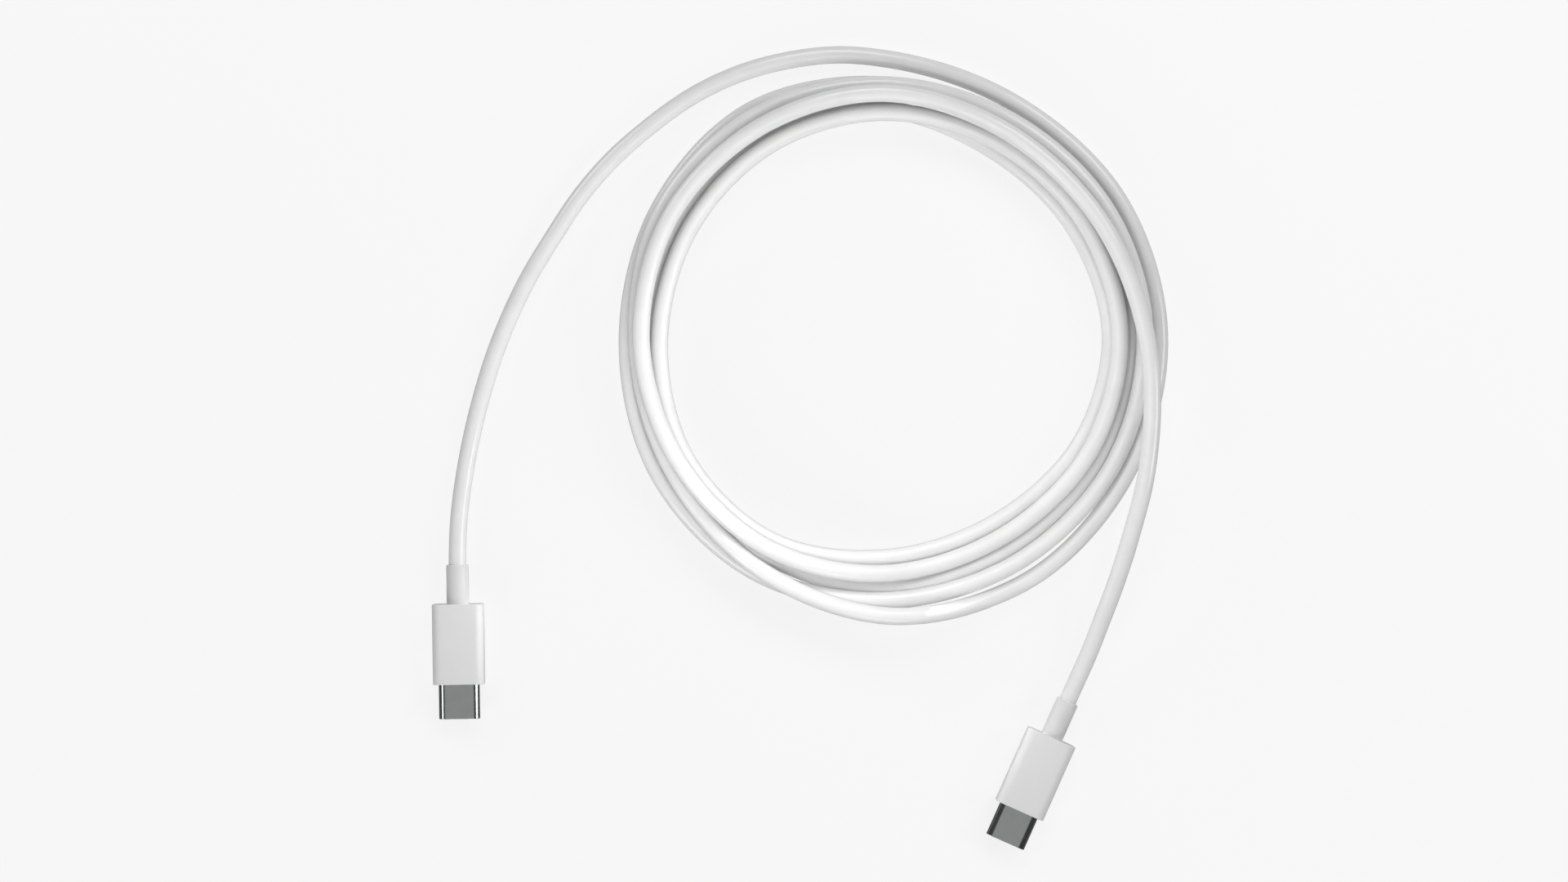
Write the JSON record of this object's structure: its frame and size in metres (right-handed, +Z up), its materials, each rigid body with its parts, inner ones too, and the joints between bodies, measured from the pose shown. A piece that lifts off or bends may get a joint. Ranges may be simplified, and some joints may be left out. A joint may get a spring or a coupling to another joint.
{
  "type": "charging cable",
  "caption": "Flexible charging cable wound in a loose coil, with a flat reversible plug and round strain relief on each end.",
  "frame": {"origin": "middle of plug A's underside, on the surface that the cable lies on", "axes": "+Z up from the surface, -Y along plug A's nose, +X from plug A towards plug B"},
  "size_m": [0.1509, 0.1626, 0.0111],
  "materials": {
    "housing_plastic": "smooth white moulding, soft gloss",
    "relief_plastic": "smooth white flexible moulding, satin",
    "cable_jacket": "smooth white elastomer jacket, satin",
    "nose_steel": "drawn stainless steel, fine satin",
    "carrier_plastic": "black moulded contact carrier",
    "contact_gold": "gold plated",
    "spring_steel": "stamped spring steel",
    "card_green": "solder mask",
    "capacitor_tan": "fired ceramic",
    "chip_black": "moulded chip body",
    "wire_red": "insulated wire",
    "wire_black": "insulated wire",
    "wire_green": "insulated wire",
    "wire_blue": "insulated wire",
    "ferrule_brass": "tinned brass crimp",
    "braid_copper": "fine woven copper braid",
    "mould_plastic": "soft clear-white moulding",
    "shield_steel": "tinned steel can"
  },
  "bodies": {
    "root": {"plug_a_housing": "housing_plastic", "plug_a_strain_relief": "relief_plastic", "plug_a_nose_shell": "nose_steel", "plug_a_contact_carrier": "carrier_plastic", "plug_a_circuit_card": "card_green", "plug_a_card_capacitors": "capacitor_tan", "plug_a_power_wire": "wire_red", "plug_a_ground_wire": "wire_black", "plug_a_data_wires": "wire_green", "plug_a_control_wire": "wire_blue", "plug_a_crimp_ferrule": "ferrule_brass", "plug_a_braid_end": "braid_copper", "plug_a_cable_end": "cable_jacket", "plug_a_inner_mould": "mould_plastic", "plug_a_shield_top": "shield_steel", "plug_a_shield_bottom": "shield_steel", "plug_b_housing": "housing_plastic", "plug_b_strain_relief": "relief_plastic", "plug_b_nose_shell": "nose_steel", "plug_b_contact_carrier": "carrier_plastic", "plug_b_circuit_card": "card_green", "plug_b_card_capacitors": "capacitor_tan", "plug_b_power_wire": "wire_red", "plug_b_ground_wire": "wire_black", "plug_b_data_wires": "wire_green", "plug_b_control_wire": "wire_blue", "plug_b_crimp_ferrule": "ferrule_brass", "plug_b_braid_end": "braid_copper", "plug_b_cable_end": "cable_jacket", "plug_b_inner_mould": "mould_plastic", "plug_b_shield_top": "shield_steel", "plug_b_shield_bottom": "shield_steel", "plug_a_marker_chip": "chip_black", "cord_tail_a": "cable_jacket", "cord_coil": "cable_jacket", "cord_tail_b": "cable_jacket"},
    "plug_a_upper_contacts": {"plug_a_upper_contacts": "contact_gold"},
    "plug_a_lower_contacts": {"plug_a_lower_contacts": "contact_gold"},
    "plug_a_latch_left": {"plug_a_latch_left": "spring_steel"},
    "plug_a_latch_right": {"plug_a_latch_right": "spring_steel"},
    "plug_a_upper_ground_spring": {"plug_a_upper_ground_spring": "spring_steel"},
    "plug_a_lower_ground_spring": {"plug_a_lower_ground_spring": "spring_steel"},
    "plug_b_upper_contacts": {"plug_b_upper_contacts": "contact_gold"},
    "plug_b_lower_contacts": {"plug_b_lower_contacts": "contact_gold"},
    "plug_b_latch_left": {"plug_b_latch_left": "spring_steel"},
    "plug_b_latch_right": {"plug_b_latch_right": "spring_steel"},
    "plug_b_upper_ground_spring": {"plug_b_upper_ground_spring": "spring_steel"},
    "plug_b_lower_ground_spring": {"plug_b_lower_ground_spring": "spring_steel"}
  },
  "joints": [
    {"name": "plug_a_upper_contacts_flex", "type": "hinge", "parent": "root", "child": "plug_a_upper_contacts", "pos_m": [0, -0.009, 0.00324], "axis": [-1, 0, 0], "range_deg": [0, 3], "stiffness_Nm_per_rad": 0.02},
    {"name": "plug_a_lower_contacts_flex", "type": "hinge", "parent": "root", "child": "plug_a_lower_contacts", "pos_m": [0, -0.009, 0.00216], "axis": [1, 0, 0], "range_deg": [0, 3], "stiffness_Nm_per_rad": 0.02},
    {"name": "plug_a_latch_left_flex", "type": "hinge", "parent": "root", "child": "plug_a_latch_left", "pos_m": [-0.00333, -0.009, 0.0027], "axis": [0, 0, -1], "range_deg": [0, 3], "stiffness_Nm_per_rad": 0.02},
    {"name": "plug_a_latch_right_flex", "type": "hinge", "parent": "root", "child": "plug_a_latch_right", "pos_m": [0.00333, -0.009, 0.0027], "axis": [0, 0, 1], "range_deg": [0, 3], "stiffness_Nm_per_rad": 0.02},
    {"name": "plug_a_upper_ground_spring_flex", "type": "hinge", "parent": "root", "child": "plug_a_upper_ground_spring", "pos_m": [0, -0.0147, 0.00335], "axis": [1, 0, 0], "range_deg": [0, 5], "stiffness_Nm_per_rad": 0.01},
    {"name": "plug_a_lower_ground_spring_flex", "type": "hinge", "parent": "root", "child": "plug_a_lower_ground_spring", "pos_m": [0, -0.0147, 0.00205], "axis": [-1, 0, 0], "range_deg": [0, 5], "stiffness_Nm_per_rad": 0.01},
    {"name": "plug_b_upper_contacts_flex", "type": "hinge", "parent": "root", "child": "plug_b_upper_contacts", "pos_m": [0.11201, -0.03606, 0.00324], "axis": [-0.907, 0.421, 0], "range_deg": [0, 3], "stiffness_Nm_per_rad": 0.02},
    {"name": "plug_b_lower_contacts_flex", "type": "hinge", "parent": "root", "child": "plug_b_lower_contacts", "pos_m": [0.11201, -0.03606, 0.00216], "axis": [0.907, -0.421, 0], "range_deg": [0, 3], "stiffness_Nm_per_rad": 0.02},
    {"name": "plug_b_latch_left_flex", "type": "hinge", "parent": "root", "child": "plug_b_latch_left", "pos_m": [0.10899, -0.03466, 0.0027], "axis": [0, 0, -1], "range_deg": [0, 3], "stiffness_Nm_per_rad": 0.02},
    {"name": "plug_b_latch_right_flex", "type": "hinge", "parent": "root", "child": "plug_b_latch_right", "pos_m": [0.11504, -0.03747, 0.0027], "axis": [0, 0, 1], "range_deg": [0, 3], "stiffness_Nm_per_rad": 0.02},
    {"name": "plug_b_upper_ground_spring_flex", "type": "hinge", "parent": "root", "child": "plug_b_upper_ground_spring", "pos_m": [0.10961, -0.04123, 0.00335], "axis": [0.907, -0.421, 0], "range_deg": [0, 5], "stiffness_Nm_per_rad": 0.01},
    {"name": "plug_b_lower_ground_spring_flex", "type": "hinge", "parent": "root", "child": "plug_b_lower_ground_spring", "pos_m": [0.10961, -0.04123, 0.00205], "axis": [-0.907, 0.421, 0], "range_deg": [0, 5], "stiffness_Nm_per_rad": 0.01}
  ]
}
